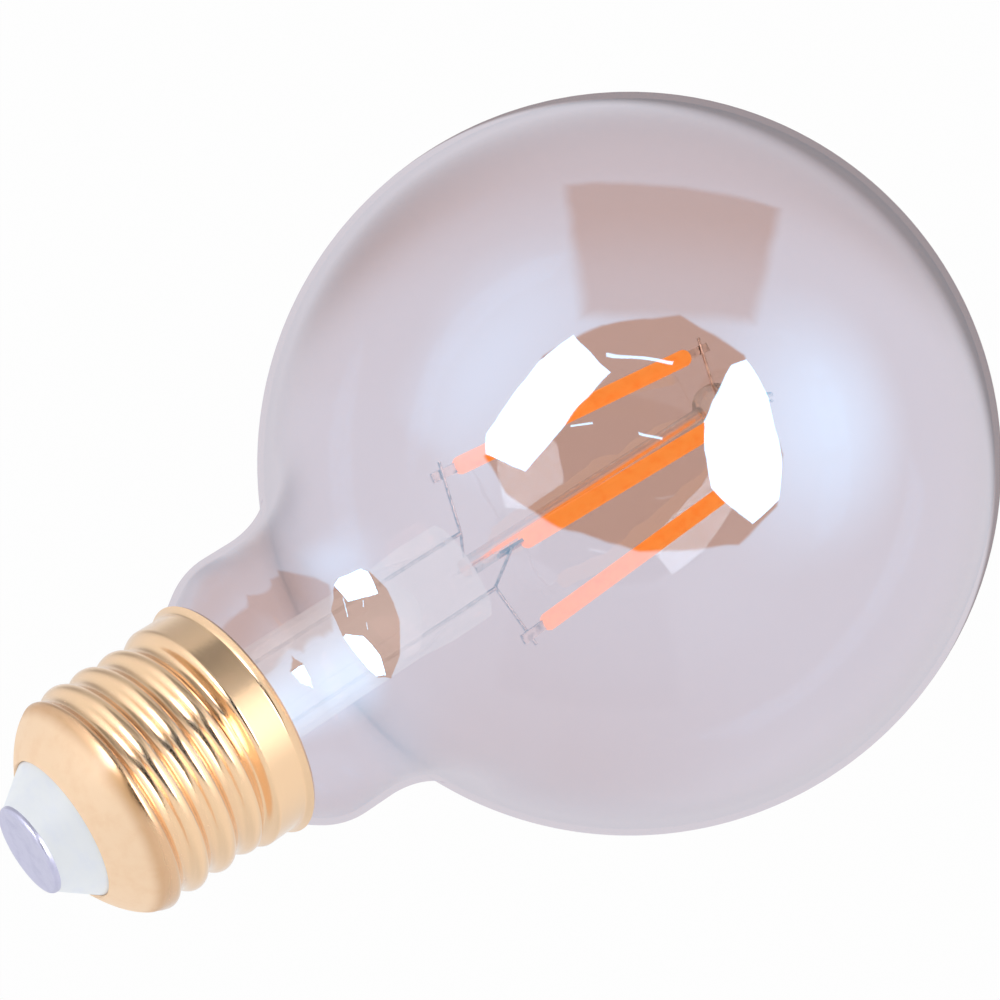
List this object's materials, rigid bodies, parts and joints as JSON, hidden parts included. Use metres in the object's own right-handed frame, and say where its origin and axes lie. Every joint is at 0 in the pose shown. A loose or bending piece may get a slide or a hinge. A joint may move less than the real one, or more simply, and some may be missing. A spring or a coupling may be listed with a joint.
{
  "type": "globe bulb",
  "caption": "Globe filament bulb of coated glass with straight light filaments on a glass stem and a gold screw cap.",
  "frame": {"origin": "centre of the end contact's outer face, where the lamp holder's centre spring touches it", "axes": "+Z along the bulb's axis out of the cap, so the globe hangs below as in a pendant holder; +X towards the first filament's side"},
  "size_m": [0.095, 0.095, 0.139],
  "materials": {
    "coated_glass": "amber coated blown glass",
    "clear_glass": "clear",
    "nickel_wire": "drawn wire",
    "filament_coat": "orange silicone",
    "gold_shell": "gold lacquer",
    "white_insulator": "white, smooth",
    "contact_metal": "satin tin",
    "cement": "matt",
    "board": "solder mask",
    "black_package": "moulded",
    "capacitor_can": "drawn",
    "resistor_body": "lacquer",
    "copper_wire": "tinned copper"
  },
  "bodies": {
    "root": {"bridge_wire_a": "nickel_wire", "bridge_wire_b": "nickel_wire", "capacitor": "capacitor_can", "cement": "cement", "centre_contact": "contact_metal", "centre_rod": "clear_glass", "driver_board": "board", "driver_chip": "black_package", "exhaust_tube": "clear_glass", "feed_wire_a": "nickel_wire", "feed_wire_b": "nickel_wire", "filament_1": "filament_coat", "filament_1_base_tab": "nickel_wire", "filament_1_crown_tab": "nickel_wire", "filament_2": "filament_coat", "filament_2_base_tab": "nickel_wire", "filament_2_crown_tab": "nickel_wire", "filament_3": "filament_coat", "filament_3_base_tab": "nickel_wire", "filament_3_crown_tab": "nickel_wire", "filament_4": "filament_coat", "filament_4_base_tab": "nickel_wire", "filament_4_crown_tab": "nickel_wire", "fuse_resistor": "resistor_body", "glass_globe": "coated_glass", "insulator": "white_insulator", "lead_wire_a": "nickel_wire", "lead_wire_b": "nickel_wire", "live_wire": "copper_wire", "neutral_wire": "copper_wire", "rectifier": "black_package", "screw_shell": "gold_shell", "stem": "clear_glass"}
  },
  "joints": []
}
